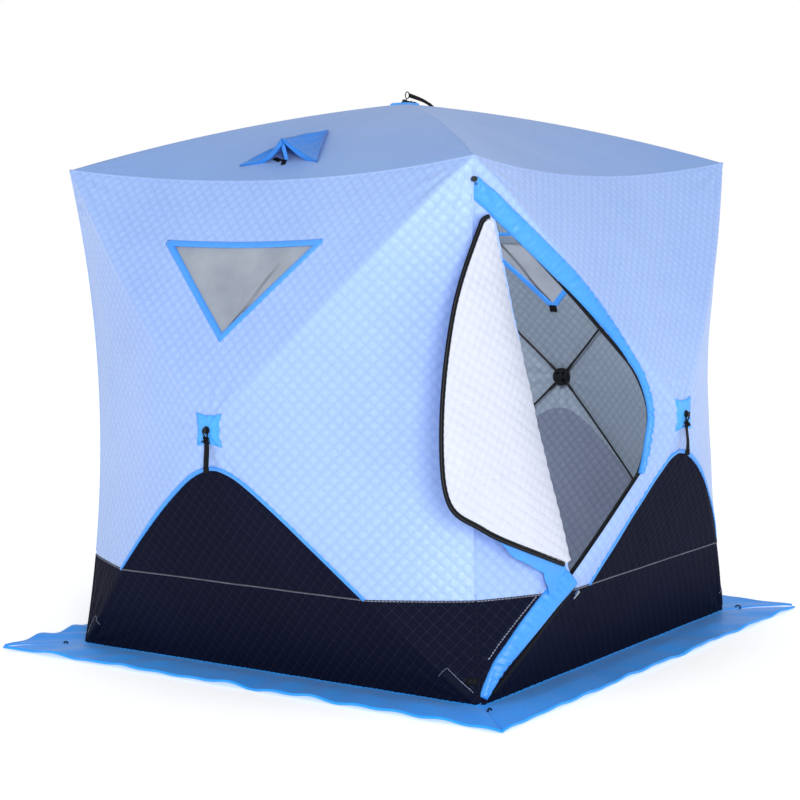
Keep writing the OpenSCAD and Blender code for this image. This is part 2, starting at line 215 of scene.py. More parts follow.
def polygon_distance(p, q, outline):
    """Signed distance from points to a closed convex outline, negative inside, and the nearest point."""
    best = np.full(p.shape, 1e9)
    near = np.zeros(p.shape + (2,))
    inside = np.ones(p.shape, bool)
    centre = outline.mean(0)
    for a, b in zip(outline, np.roll(outline, -1, axis=0)):
        d = b - a
        if np.linalg.norm(d) < 1e-9:
            continue
        s = np.clip(((p - a[0]) * d[0] + (q - a[1]) * d[1]) / (d @ d), 0, 1)
        x, y = a[0] + s * d[0], a[1] + s * d[1]
        gap = np.hypot(p - x, q - y)
        closer = gap < best
        best = np.where(closer, gap, best)
        near[closer] = np.stack([x, y], -1)[closer]
        normal = np.array([d[1], -d[0]])
        if normal @ (centre - a) > 0:
            normal = -normal
        inside &= (p - a[0]) * normal[0] + (q - a[1]) * normal[1] <= 0
    return np.where(inside, -best, best), near


def arch_v(wall, p):
    """Height of the dark arch's edge at p: it follows the two lower poles, rounded under the hub."""
    left, right = ARCH_FALL.get(wall, (1.0, 1.0))
    return -np.sqrt((p * np.where(p < 0, left, right)) ** 2 + ARCH_TOP**2)


# ---------------------------------------------------------------- meshes
def mesh_object(name, verts, faces, smooth=True, attribute=None):
    verts = np.asarray(verts, float).reshape(-1, 3)
    mesh = bpy.data.meshes.new(name)
    mesh.from_pydata(verts.tolist(), [], [list(map(int, f)) for f in faces])
    mesh.update()
    if smooth:
        mesh.polygons.foreach_set("use_smooth", [True] * len(mesh.polygons))
    for key, values in (attribute or {}).items():
        layer = mesh.attributes.new(key, "FLOAT", "POINT")
        layer.data.foreach_set("value", np.asarray(values, np.float32).ravel())
    obj = bpy.data.objects.new(name, mesh)
    bpy.context.scene.collection.objects.link(obj)
    return obj


def paint(obj, look, replaces=()):
    """Gives a piece its look and hides the CAD nodes it stands for."""
    obj.data.materials.clear()
    obj.data.materials.append(looks[look])
    if replaces:
        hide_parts(*replaces)


def dress(obj, look, body=ROOT, replaces=()):
    """Paints a piece and puts it on its body; a piece that lies on a wall's cloth is baked in place."""
    paint(obj, look, replaces)
    if body in AXES:
        follow_hub(obj)
    else:
        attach(obj, body)


def follow_hub(obj):
    """A wall's cloth piece is baked into the row frame and stays still; it does not go in with its hub. Lift
    is its height over the face.

    The lift keeps the lining behind the outer cloth. With a hub pushed in, it still crosses the poles.
    """
    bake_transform(obj)


def grid_mesh(p, q):
    """Triangles of a square grid whose diagonals run along the creases and the stitch lines."""
    rows, cols = p.shape
    i, j = np.meshgrid(np.arange(rows - 1), np.arange(cols - 1), indexing="ij")
    a = i * cols + j
    b, c, d = a + 1, a + cols + 1, a + cols
    mid_p = (p[:-1, :-1] + p[1:, 1:]) / 2
    mid_q = (q[:-1, :-1] + q[1:, 1:]) / 2
    rising = (mid_p * mid_q > 0)[..., None]
    per = int(round(QUILT * (rows - 1) / (2 * HALF)))
    rising = np.where(((j - i) % per == 0)[..., None], True, rising)
    rising = np.where(((i + j + 1) % per == 0)[..., None], False, rising)
    one = np.where(rising, np.stack([a, b, c], -1), np.stack([a, b, d], -1))
    two = np.where(rising, np.stack([a, c, d], -1), np.stack([b, c, d], -1))
    return np.concatenate([one.reshape(-1, 3), two.reshape(-1, 3)])


def keep_faces(verts, faces, keep, attributes):
    """Only the kept faces, and the points that they use."""
    faces = faces[keep]
    used = np.unique(faces)
    index = np.zeros(len(verts), int)
    index[used] = np.arange(len(used))
    return verts[used], index[faces], {k: np.asarray(v).ravel()[used] for k, v in attributes.items()}


def wall_grid(step):
    cells = int(round(2 * HALF / step))
    line = np.linspace(-HALF, HALF, cells + 1)
    return np.meshgrid(line, line)


def snap_to(p, q, gap, near, step):
    """Moves the grid points beside an outline onto it."""
    close = np.abs(gap) < 0.5 * step
    p = np.where(close, near[..., 0], p)
    q = np.where(close, near[..., 1], q)
    return p, q


def wall_cloth(wall, lift, puff):
    """A wall's quilted cloth: its points, faces, quilting, and which faces are kept and which are dark."""
    p, q = wall_grid(CLOTH_STEP)
    if wall == "front":
        gap, near = polygon_distance(p, q, door_outline())
        p, q = snap_to(p, q, gap, near, CLOTH_STEP)
    edge = arch_v(wall, p)
    beside = (np.abs(q - edge) < 0.4 * CLOTH_STEP) & (q > BAND_V - 0.3 * CLOTH_STEP)
    q = np.where(beside & (np.abs(p) > 0.004), edge, q)
    quilt = pillow(p, q)
    verts = cloth(wall, p, q, lift + puff * quilt).reshape(-1, 3)
    faces = grid_mesh(p, q)
    mid_p, mid_q = p.ravel()[faces].mean(1), q.ravel()[faces].mean(1)
    keep = np.ones(len(faces), bool)
    if wall == "front":
        gap, _ = polygon_distance(mid_p, mid_q, door_outline())
        keep &= gap > 0
    if wall in ("left", "right"):
        keep &= ~((mid_q < WINDOW_TOP) & (mid_q > np.abs(mid_p) + WINDOW_TOP - WINDOW_HALF))
    dark = (mid_q < BAND_V) | (mid_q < arch_v(wall, mid_p))
    return verts, faces, quilt, keep, dark


def build_wall(wall):
    verts, faces, quilt, keep, dark = wall_cloth(wall, 0.0, CLOTH_PUFF)
    for part, chosen, slot, nodes in (
        ("cloth", keep & ~dark, "quilted_cloth", [f"{wall}_cloth"]),
        ("lower_cloth", keep & dark, "dark_cloth", [f"{wall}_lower_cloth"]),
    ):
        v, f, extra = keep_faces(verts, faces, chosen, {"quilt": quilt})
        obj = mesh_object(f"{wall}_{part}_visual", v, f, attribute=extra)
        dress(obj, slot, wall, nodes)
    verts, faces, quilt, keep, dark = wall_cloth(wall, LINING_LIFT, LINING_PUFF)
    # Under the dark arch the lining takes a darker look: painted shade for the light that the dark outer
    # cloth keeps out.
    for part, chosen in (("lining", keep & ~dark), ("lining_painted_shade", keep & dark)):
        v, f, extra = keep_faces(verts, faces[:, ::-1], chosen, {"quilt": quilt})
        obj = mesh_object(f"{wall}_{part}", v, f, attribute=extra)
        dress(obj, part, wall)


def build_roof():
    for part, lift, flip in (("cloth", 0.0, False), ("lining", ROOF_LINING_LIFT, True)):
        p, q = wall_grid(ROOF_STEP)
        verts = cloth("roof", p, q, lift, wrinkle=0.8).reshape(-1, 3)
        faces = grid_mesh(p, q)
        if flip:
            faces = faces[:, ::-1]
        obj = mesh_object(f"roof_{part}_visual", verts, faces)
        nodes = [] if flip else ["roof_cloth"]
        dress(obj, "lining_roof" if flip else "roof_cloth", "roof", nodes)


def join(name, objects):
    """Joins pieces of one material into one piece."""
    first = objects[0]
    with bpy.context.temp_override(active_object=first, selected_editable_objects=objects):
        bpy.ops.object.join()
    first.name = name
    return first


# ---------------------------------------------------------------- materials
def srgb(code):
    """A hex colour as linear red, green and blue."""
    parts = [int(code[k:k + 2], 16) / 255 for k in (1, 3, 5)]
    return [c / 12.92 if c <= 0.04045 else ((c + 0.055) / 1.055) ** 2.4 for c in parts] + [1.0]


class Nodes:
    """A small helper that adds shader nodes and links them."""

    def __init__(self, name):
        self.material = bpy.data.materials.new(name)
        self.material.use_nodes = True
        self.tree = self.material.node_tree
        self.shader = self.tree.nodes["Principled BSDF"]
        self.place = self.add("ShaderNodeTexCoord").outputs["Object"]

    def add(self, kind, **inputs):
        made = self.tree.nodes.new(kind)
        for key, value in inputs.items():
            if key in made.inputs:
                made.inputs[key].default_value = value
            else:
                setattr(made, key, value)
        return made

    def link(self, start, end):
        self.tree.links.new(start, end)

    def feed(self, socket, value):
        """Links another node's output to a socket, or gives the socket a fixed value."""
        if isinstance(value, bpy.types.NodeSocket):
            self.link(value, socket)
        else:
            socket.default_value = value

    def drive(self, name, output):
        """Links an output to one of the shader's inputs."""
        self.link(output, self.shader.inputs[name])

    def noise(self, scale, detail=3.0, rough=0.5):
        made = self.add("ShaderNodeTexNoise", Scale=scale, Detail=detail, Roughness=rough)
        self.link(self.place, made.inputs["Vector"])
        return made.outputs["Fac"]

    def ramp(self, factor, stops):
        made = self.add("ShaderNodeValToRGB")
        ramp = made.color_ramp
        while len(ramp.elements) < len(stops):
            ramp.elements.new(0.5)
        for element, (at, colour) in zip(ramp.elements, stops):
            element.position = at
            element.color = colour
        self.link(factor, made.inputs["Fac"])
        return made.outputs["Color"]

    def mix(self, factor, a, b):
        made = self.add("ShaderNodeMix", data_type="RGBA")
        colours = [s for s in made.inputs if s.type == "RGBA"]
        for socket, value in ((made.inputs[0], factor), (colours[0], a), (colours[1], b)):
            self.feed(socket, value)
        return [s for s in made.outputs if s.type == "RGBA"][0]

    def math(self, operation, a, b=0.0):
        made = self.add("ShaderNodeMath", operation=operation)
        for socket, value in zip(made.inputs, (a, b)):
            self.feed(socket, value)
        return made.outputs[0]

    def bump(self, height, strength, distance, under=None):
        made = self.add("ShaderNodeBump", Strength=strength, Distance=distance)
        self.link(height, made.inputs["Height"])
        if under is not None:
            self.link(under, made.inputs["Normal"])
        return made.outputs["Normal"]

    def weave(self, scale):
        """Fine crossed threads."""
        found = []
        for direction in ("X", "Y", "Z"):
            made = self.add("ShaderNodeTexWave", bands_direction=direction, Scale=scale, Distortion=0.6)
            made.inputs["Detail"].default_value = 1.0
            self.link(self.place, made.inputs["Vector"])
            found.append(made.outputs["Fac"])
        crossed = [self.math("MULTIPLY", found[k], found[2]) for k in (0, 1)]
        return self.math("ADD", *crossed)

    def set(self, **values):
        names = {s.name: s for s in self.shader.inputs}
        for key, value in values.items():
            names[key.replace("_", " ")].default_value = value


def cloth_look(name, base, deep, light, quilted=False, rough=0.5, sheen=0.1, weave=420.0, line="", painted_line_depth=0.5,
               gloss=0.5):
    """Woven cloth: threads, soft colour drift and, where it is quilted, a painted highlight on each diamond's
    crown and the line colour painted along the stitch lines.
    """
    made = Nodes(name)
    drift = made.noise(1.6, 3.0)
    drifting = made.ramp(drift, [(0.25, srgb(deep)), (0.5, srgb(base)), (0.75, srgb(light))])
    colour = made.mix(0.45, srgb(base), drifting)
    fine = made.noise(110.0, 2.0)
    colour = made.mix(0.12, colour, made.ramp(fine, [(0.35, srgb(deep)), (0.65, srgb(light))]))
    normal = made.bump(made.weave(weave), 0.12, 0.0005)
    normal = made.bump(made.noise(26.0, 5.0, 0.62), 0.4, 0.006, normal)
    if quilted:
        # Painted light from the quilt height: a painted highlight on each diamond's crown, and painted shade
        # along the stitch lines of the light cloths; on the dark cloth the line colour is paler than the
        # cloth.
        seam = made.add("ShaderNodeAttribute", attribute_name="quilt").outputs["Fac"]
        inside = made.ramp(seam, [(0.0, (0.0, 0.0, 0.0, 1)), (0.30, (1, 1, 1, 1))])
        crown = made.ramp(seam, [(0.45, (0.0, 0.0, 0.0, 1)), (1.0, (1, 1, 1, 1))])
        colour = made.mix(made.math("MULTIPLY", crown, 0.35), colour, srgb(light))
        painted_line_colour = made.mix(painted_line_depth, colour, srgb(line or deep))
        colour = made.mix(inside, painted_line_colour, colour)
    made.drive("Base Color", colour)
    patchy = made.math("MULTIPLY", made.noise(60.0, 2.0), 0.14)
    made.drive("Roughness", made.math("ADD", patchy, rough - 0.07))
    made.drive("Normal", normal)
    made.set(Sheen_Weight=sheen, Sheen_Roughness=0.5, Specular_IOR_Level=gloss)
    return made.material


def plain_look(name, base, other, rough=0.45, metal=0.0, grain=120.0, bump=0.1, gloss=0.5):
    """Moulded, coated or metal surface with a fine grain and slight wear."""
    made = Nodes(name)
    wear = made.noise(14.0, 5.0, 0.6)
    made.drive("Base Color", made.ramp(wear, [(0.35, srgb(base)), (0.7, srgb(other))]))
    made.drive("Normal", made.bump(made.noise(grain, 3.0), bump, 0.0006))
    made.drive("Roughness", made.math("ADD", made.math("MULTIPLY", wear, 0.2), rough - 0.1))
    made.set(Metallic=metal, Specular_IOR_Level=gloss)
    return made.material


def film_look():
    """Clear flexible film, slightly hazy and wavy."""
    made = Nodes("window_film")
    haze = made.noise(5.0, 4.0, 0.6)
    made.drive("Base Color", made.ramp(haze, [(0.3, srgb("#8d95a3")), (0.7, srgb("#a9b0bb"))]))
    made.drive("Normal", made.bump(made.noise(7.0, 2.0), 0.35, 0.01))
    made.set(Roughness=0.3, Alpha=0.78, Coat_Weight=0.3)
    return made.material


def mesh_look():
    """Open black netting."""
    made = Nodes("vent_mesh")
    found = []
    for direction in ("X", "Y"):
        wave = made.add("ShaderNodeTexWave", bands_direction=direction, Scale=120.0)
        made.link(made.place, wave.inputs["Vector"])
        found.append(wave.outputs["Fac"])
    threads = made.math("MAXIMUM", found[0], found[1])
    made.drive("Base Color", made.ramp(threads, [(0.4, srgb("#0c0d10")), (0.8, srgb("#5a606a"))]))
    made.drive("Normal", made.bump(threads, 0.6, 0.001))
    made.set(Roughness=0.8)
    return made.material


# Each cloth's usual, deep and light colour, and what sets its weave and finish apart; on a quilted cloth the
# light colour is also its painted crown highlight, and line is the colour painted along its stitch lines
CLOTHS = {
    "quilted_cloth": ("#92b0e8", "#7c9cd9", "#a4c1f2",
                      dict(quilted=True, rough=0.34, line="#809fd9", painted_line_depth=0.36)),
    "dark_cloth": ("#0b0e1f", "#080a16", "#12162e",
                   dict(quilted=True, sheen=0.0, rough=0.72, line="#2b2b40", painted_line_depth=0.4, gloss=0.05)),
    "roof_cloth": ("#7fa3dd", "#7495d0", "#8badE3", dict(gloss=0.3)),
    "lining": ("#7f8b9b", "#6a7686", "#929eac", dict(quilted=True, line="#6a7584")),
    # The lining's darker look under the dark arch is painted shade.
    "lining_painted_shade": ("#666f84", "#525b70", "#777f94", dict(quilted=True, line="#4d5569")),
    "lining_roof": ("#7e98c8", "#6f89ba", "#8ba4d0", dict(rough=0.6)),
    "door_lining": ("#c4c9da", "#abb4cb", "#d3d6e3", dict(quilted=True, rough=0.42, line="#99a5c4")),
    "blue_trim": ("#3a92ee", "#2a7bd8", "#55a6f6", dict(rough=0.45, weave=700.0)),
    "storm_flap": ("#3491e6", "#257bd4", "#4ca2f2", dict(rough=0.36)),
    "skirt_cloth": ("#1f9cff", "#158df4", "#30a8ff", dict(gloss=0.3)),
    "black_webbing": ("#0b0c0f", "#070709", "#15161a", dict(rough=0.7, sheen=0.0, weave=900.0, gloss=0.15)),
    "welt": ("#94b0e6", "#809ed8", "#a4bdee", {}),
    "dark_plain": ("#0e1122", "#0a0b18", "#161a2e", dict(rough=0.7, sheen=0.0, gloss=0.08)),
    "patch": ("#3fa2f6", "#2f8be6", "#58b3fc", dict(rough=0.36)),
    "hood": ("#1c7cd8", "#166ac2", "#338ee6", dict(rough=0.4)),
}
# Each plain surface's two colours, and its finish
SURFACES = {
    "black_plastic": ("#090a0c", "#14161a", dict(rough=0.5, gloss=0.25)),
    "pole": ("#050607", "#0c0d0f", dict(rough=0.5, grain=300.0, gloss=0.3)),
    "steel": ("#b9bdc4", "#8f949c", dict(rough=0.3, metal=1.0, grain=200.0)),
    "zip": ("#090a0d", "#131418", dict(rough=0.6, grain=500.0, bump=0.3, gloss=0.12)),
    "stitch": ("#9aa2b4", "#7d8698", dict(rough=0.7)),
    "seam_cord": ("#3a3b46", "#25262f", dict(rough=0.8, grain=600.0, bump=0.4)),
    "zip_coil": ("#2c2d33", "#15161a", dict(rough=0.45, grain=700.0, bump=0.5, gloss=0.3)),
}


def make_looks():
    made = {name: cloth_look(name, *colours, **finish) for name, (*colours, finish) in CLOTHS.items()}
    for name, (base, other, finish) in SURFACES.items():
        made[name] = plain_look(name, base, other, **finish)
    made["window_film"] = film_look()
    made["mesh"] = mesh_look()
    return made


# ---------------------------------------------------------------- pieces
def slab(name, top, under):
    """A closed piece between two grids of points."""
    rows, cols = top.shape[:2]
    verts = np.concatenate([top.reshape(-1, 3), under.reshape(-1, 3)])
    layer = rows * cols
    index = np.arange(layer).reshape(rows, cols)
    a, b, c, d = index[:-1, :-1], index[:-1, 1:], index[1:, 1:], index[1:, :-1]
    up = np.stack([a, b, c, d], -1).reshape(-1, 4)
    down = np.stack([a, d, c, b], -1).reshape(-1, 4) + layer
    rim = np.concatenate([index[0, :-1], index[:-1, -1], index[-1, :0:-1], index[:0:-1, 0]])
    after = np.roll(rim, -1)
    sides = np.stack([rim, rim + layer, after + layer, after], -1)
    return mesh_object(name, verts, np.concatenate([up, down, sides]))


def pad(name, wall, p, q, lift, under=-0.0035):
    """A closed piece on a wall's cloth, over grids p, q, as high as lift."""
    return slab(name, cloth(wall, p, q, lift), cloth(wall, p, q, under))


def strip_grid(path, width, step, across, taper=None):
    """A grid of p and q along a path, how crowned it is, and how far along and to the side each spot is."""
    path = resample(path, step)
    tangent = unit(np.gradient(path, axis=0))
    normal = np.stack([-tangent[:, 1], tangent[:, 0]], 1)
    side = np.linspace(-1, 1, across + 1)
    along = np.linspace(0, 1, len(path))
    half = np.full(len(path), width / 2) * (1 if taper is None else taper(along))
    spots = path[:, None] + normal[:, None] * (side[None] * half[:, None])[..., None]
    crown = np.sqrt(np.clip(1 - side**2, 0, 1))[None]
    return spots[..., 0], spots[..., 1], np.broadcast_to(crown, spots.shape[:2]), along[:, None], side[None]


def ribbon(name, wall, path, width, lift=0.002, rise=0.003, under=-0.0035, step=0.012, across=6,
           ruffle=0.0, taper=None):
    """A strip along a path of grid points on a wall, crowned by rise and gathered by ruffle."""
    p, q, crown, along, side = strip_grid(path, width, step, across, taper)
    p = np.clip(p, -HALF, HALF)
    top = lift + rise * crown
    if ruffle:
        draw = random.Random(len(name) + len(path))
        length = steps_of(path).sum()
        waves = 0
        for _ in range(6):
            rate, lean, shift = draw.uniform(120, 330), draw.uniform(-1.5, 1.5), draw.uniform(0, math.tau)
            waves = waves + np.sin(along * length * rate + lean * side + shift) / 3
        top = top + ruffle * waves * crown
    return pad(name, wall, p, q, top, under)


def stitches(name, wall, path, pitch=0.011, dash=0.007, lift=0.0015, wide=0.0016):
    """A row of short raised thread dashes on a wall's cloth."""
    path = resample(path, 0.004)
    along = distance_along(path)
    starts = np.arange(0.002, along[-1] - dash, pitch)
    ends = [np.stack([np.interp(s, along, path[:, k]) for k in (0, 1)], 1) for s in (starts, starts + dash)]
    tangent = (ends[1] - ends[0]) / dash
    normal = np.stack([-tangent[:, 1], tangent[:, 0]], 1)
    corners = [ends[0] + normal * wide / 2, ends[0] - normal * wide / 2,
               ends[1] - normal * wide / 2, ends[1] + normal * wide / 2]
    spots = np.stack(corners, 1)
    layers = [cloth(wall, spots[..., 0], spots[..., 1], level) for level in (-0.001, lift)]
    verts = np.concatenate(layers, 1).reshape(-1, 3)
    box = np.array([[3, 2, 1, 0], [4, 5, 6, 7], [0, 1, 5, 4], [1, 2, 6, 5], [2, 3, 7, 6], [3, 0, 4, 7]])
    faces = (np.arange(len(starts))[:, None, None] * 8 + box[None]).reshape(-1, 4)
    return mesh_object(name, verts, faces, smooth=False)


def sweep(name, path, outs, width, thick, sides=10, closed=False):
    """A flattened cord along points: width across, thick along the outward directions."""
    path = np.asarray(path, float)
    outs = np.broadcast_to(np.asarray(outs, float), path.shape)
    if closed:
        tangent = unit(np.roll(path, -1, 0) - np.roll(path, 1, 0))
    else:
        tangent = unit(np.gradient(path, axis=0))
    side = unit(np.cross(tangent, outs))
    outs = np.cross(side, tangent)
    width = np.broadcast_to(np.asarray(width, float), (len(path),))[:, None, None]
    turn = turns(sides)[None, :, None]
    ring = path[:, None] + side[:, None] * np.cos(turn) * width / 2 + outs[:, None] * np.sin(turn) * thick / 2
    count = len(path)
    faces = []
    for i in range(count if closed else count - 1):
        for k in range(sides):
            a, b = i * sides + k, i * sides + (k + 1) % sides
            j = (i + 1) % count
            faces.append([a, b, j * sides + (k + 1) % sides, j * sides + k])
    if not closed:
        faces.append(list(range(sides))[::-1])
        faces.append([(count - 1) * sides + k for k in range(sides)])
    return mesh_object(name, ring.reshape(-1, 3), faces)


def trim(name, wall, path, width, look, slot, body=None, **shape):
    """A ribbon on a wall's cloth, which follows that wall or rides another body."""
    dress(ribbon(name, wall, path, width, **shape), look, body or wall)


def sew(name, wall, path, look, slot, **shape):
    """A row of stitches that follows its wall."""
    dress(stitches(name, wall, path, **shape), look, wall)


# ---------------------------------------------------------------- walls
def arch_path(wall):
    """The dark arch's edge, from where it leaves the band to where it comes back."""
    left, right = ARCH_FALL.get(wall, (1.0, 1.0))
    reach = math.sqrt(BAND_V**2 - ARCH_TOP**2)
    p = np.linspace(-reach / left, reach / right, 160)
    return np.stack([p, arch_v(wall, p)], 1)


def build_trims(wall):
    trim(f"{wall}_arch_piping", wall, arch_path(wall), 0.015, "blue_trim", "blue_trim",
         lift=0.003, rise=0.004, step=0.008)
    band = [[-HALF, BAND_V], [HALF, BAND_V]]
    trim(f"{wall}_band_seam", wall, band, 0.007, "seam_cord", "dark_cloth",
         lift=0.002, rise=0.0026, step=0.01, across=4)
    sew(f"{wall}_band_stitches", wall, band, "stitch", "black_webbing",
        pitch=0.012, dash=0.006, lift=0.0058)
    build_patch(wall)
    low, high, half = 0.785, 0.868, 0.016
    for side in (-1, 1):
        # The front wall's door side has its zip where the pocket would be
        if side < 0 and wall == "front":
            continue
        pocket = [[side * low, -low], [side * high, -high]]
        trim(f"{wall}_pole_pocket_{side}", wall, pocket, 0.04, "dark_plain", "dark_cloth",
             lift=0.001, rise=0.002)
        box = [[side * (low - half), -low - half], [side * (low + half), -low + half],
               [side * (high + half), -high + half]]
        sew(f"{wall}_pocket_stitches_{side}", wall, box, "stitch", "dark_cloth",
            lift=0.004, pitch=0.008, dash=0.005, wide=0.0012)


def build_patch(wall):
    """The bright square behind a hub, with drawn-in sides and puckers, and a row of stitches round it."""
    line = np.linspace(-1, 1, 33)
    a, b = np.meshgrid(line, line)
    size = 0.7 if wall == "roof" else 1.0
    p = size * 0.055 * a * (1 - 0.16 * (1 - b**2))
    q = size * 0.058 * b * (1 - 0.14 * (1 - a**2))
    turn = np.arctan2(b, a)
    reach = np.hypot(a, b)
    pucker = 0.0016 * np.sin(9 * turn + 1) * reach + 0.001 * np.sin(31 * a + 5) * np.sin(27 * b)
    obj = pad(f"{wall}_hub_patch", wall, p, q, 0.0055 + pucker, -0.002)
    dress(obj, "patch", wall)
    drawn = 0.84
    square = ((-1, -1), (0, -drawn), (1, -1), (drawn, 0), (1, 1), (0, drawn), (-1, 1), (-drawn, 0), (-1, -1))
    edge = [[size * 0.05 * x, size * 0.053 * y] for x, y in square]
    sew(f"{wall}_patch_stitches", wall, edge, "patch", "blue_trim",
        pitch=0.007, dash=0.0045, lift=0.0078, wide=0.0012)
    eye = np.array([[0.011 * math.cos(t), 0.011 * math.sin(t)] for t in turns(28)])
    ring = cloth(wall, eye[:, 0], eye[:, 1], 0.008)
    grommet = sweep(f"{wall}_grommet", ring, AXES[wall][2], 0.006, 0.004, closed=True)
    dress(grommet, "black_plastic", wall)


def build_strap(wall):
    """The pull strap: a knotted cord loop through the hub's eye, and a webbing tail."""
    u, v, n = (np.array(x) for x in AXES[wall])
    if wall == "roof":
        turn, dip = math.radians(70), math.radians(10)
        down = -(-math.sin(turn) * u + math.cos(turn) * v)
        across = math.cos(turn) * u + math.sin(turn) * v
        down = math.cos(dip) * down - math.sin(dip) * n
        pin = np.array([0, 0, 2.048])
        out = np.cross(across, -down)
    else:
        down, across, out = -v, u, n
        pin = np.array([0, 0, HALF]) + 1.198 * n

    def at(x, y, z):
        return pin + x * across + y * down + z * out

    through = [at(x, 0, 0) for x in np.linspace(-0.013, 0.013, 5)]
    loops = [sweep(f"{wall}_strap_pin", through, out, 0.006, 0.006)]
    for lean in (-1, 1):
        leg = [
            at(lean * 0.012 * (1 - s) + lean * 0.002, STRAP_DROP * s, 0.002 * math.sin(5 * s))
            for s in np.linspace(0, 1, 9)
        ]
        loops.append(sweep(f"{wall}_strap_leg_{lean}", leg, out, 0.005, 0.005))
    for k, (x, y, tilt) in enumerate(((0, 0.030, 0.2), (0.002, 0.037, -0.5), (-0.003, 0.034, 1.1))):
        knot = []
        for t in turns(18):
            bx = 0.010 * math.cos(t)
            by = 0.006 * math.sin(t)
            kx = x + bx * math.cos(tilt) - by * math.sin(tilt)
            ky = y + bx * math.sin(tilt) + by * math.cos(tilt)
            knot.append(at(kx, ky, 0.004 * math.sin(2 * t) + 0.001))
        loops.append(sweep(f"{wall}_knot_{k}", knot, out, 0.005, 0.005, closed=True))
    for lean in (-1, 1):
        tail = [
            at(lean * (0.004 + 0.014 * s), 0.036 - 0.004 * s + 0.01 * s * s, 0.003)
            for s in np.linspace(0, 1, 7)
        ]
        loops.append(sweep(f"{wall}_knot_tail_{lean}", tail, out, 0.0045, 0.0045))
    if wall == "roof":
        hoop = [
            at(0.011 * math.cos(t) * 0.3, 0.008 + 0.011 * math.cos(t), 0.026 + 0.013 * math.sin(t))
            for t in turns(28)
        ]
        loops.append(sweep("roof_ring", hoop, across, 0.004, 0.004, closed=True))
    cord = join(f"{wall}_strap_cord", loops)
    strap = f"{wall}_pull_strap"
    dress(cord, "black_webbing", strap, [strap])
    seed = len(wall)
    s = np.linspace(0, 1, 40)[:, None]
    x = np.linspace(-STRAP_W / 2, STRAP_W / 2, 7)[None]
    twist = 0.35 * np.sin(2.2 * s + seed) * s + (1.1 if wall == "roof" else 0)
    sway = 0.003 * np.sin(4.5 * s + seed)
    hang = STRAP_DROP + STRAP_LONG * s
    if wall == "roof":
        hang = 0.016 + 0.126 * s
        sway = sway + 0.030 - 0.034 * s**2
    middle = pin[None, None] + hang[..., None] * down + sway[..., None] * out
    wide = x[..., None] * (np.cos(twist)[..., None] * across + np.sin(twist)[..., None] * out)
    face = np.sin(-twist)[..., None] * across + np.cos(twist)[..., None] * out
    rib = (0.0011 + 0.0002 * np.cos(x * 1600))[..., None]
    tail = slab(f"{wall}_strap_webbing", middle + wide + rib * face, middle + wide - rib * face)
    dress(tail, "black_webbing", strap)
    folded = middle + wide * 1.06
    thick = 2.4 * rib * face
    fold = slab(f"{wall}_strap_hem", (folded + thick)[-8:], (folded - thick)[-8:])
    dress(fold, "black_webbing", strap)


def build_window(wall):
    half, top = WINDOW_HALF, WINDOW_TOP
    tip = top - half
    rows = np.linspace(0, 1, 40)[:, None]
    cols = np.linspace(-1, 1, 49)[None]
    q = tip + (half + 0.004) * rows + 0 * cols
    p = cols * (q - tip + 0.006)
    wave = 0.0022 * ripples(p, q, 91, 8, 8, 22) * np.clip(1 - np.abs(cols), 0, 1)
    surface = cloth(wall, p, q, -0.004, 0.4)
    layer = surface + wave[..., None] * AXES[wall][2]
    thick = FILM_HALF_THICK * AXES[wall][2]
    film = slab(f"{wall}_film", layer + thick, layer - thick)
    dress(film, "window_film", wall, [f"{wall}_window"])
    corners = [(-half, top), (half, top), (0, tip)]
    sides = []
    for a, b in ((0, 1), (1, 2), (2, 0)):
        start, end = np.array(corners[a]), np.array(corners[b])
        along = (end - start) / np.linalg.norm(end - start)
        path = [start - 0.008 * along, end + 0.008 * along]
        sides.append(ribbon(f"{wall}_binding_{a}", wall, path, 0.023, lift=0.003, under=-0.0125, step=0.01))
    binding = join(f"{wall}_binding", sides)
    dress(binding, "blue_trim", wall, ["window_bindings"])
    # Two dark lines on the film: one stands for a pole seen through the film, the other is that pole's
    # painted shadow.
    for k, shift in enumerate((0.0, 0.009)):
        pole_shadow_path = smooth_curve([[0.215 + shift, top - 0.02], [0.13 + shift, tip + 0.20],
                               [0.075 + shift, tip + 0.11], [0.012 + shift, tip + 0.03]], 12)
        trim(f"{wall}_film_seam_{k}", wall, pole_shadow_path, 0.0035, "seam_cord", "black_webbing",
             lift=-0.0032, rise=0.001, under=-0.007, step=0.01, across=2)
    rolled = [[-half + 0.03, top - 0.022], [half - 0.03, top - 0.022]]
    trim(f"{wall}_window_blind", wall, rolled, 0.038, "lining", "quilted_cloth",
         lift=-0.011, rise=0.004, under=-0.022, step=0.02)
    tab = [[-0.016, tip - 0.006], [0.016, tip - 0.006]]
    trim(f"{wall}_window_tab", wall, tab, 0.03, "black_webbing", "black_webbing",
         lift=-0.006, rise=0.002, under=-0.018, step=0.004)


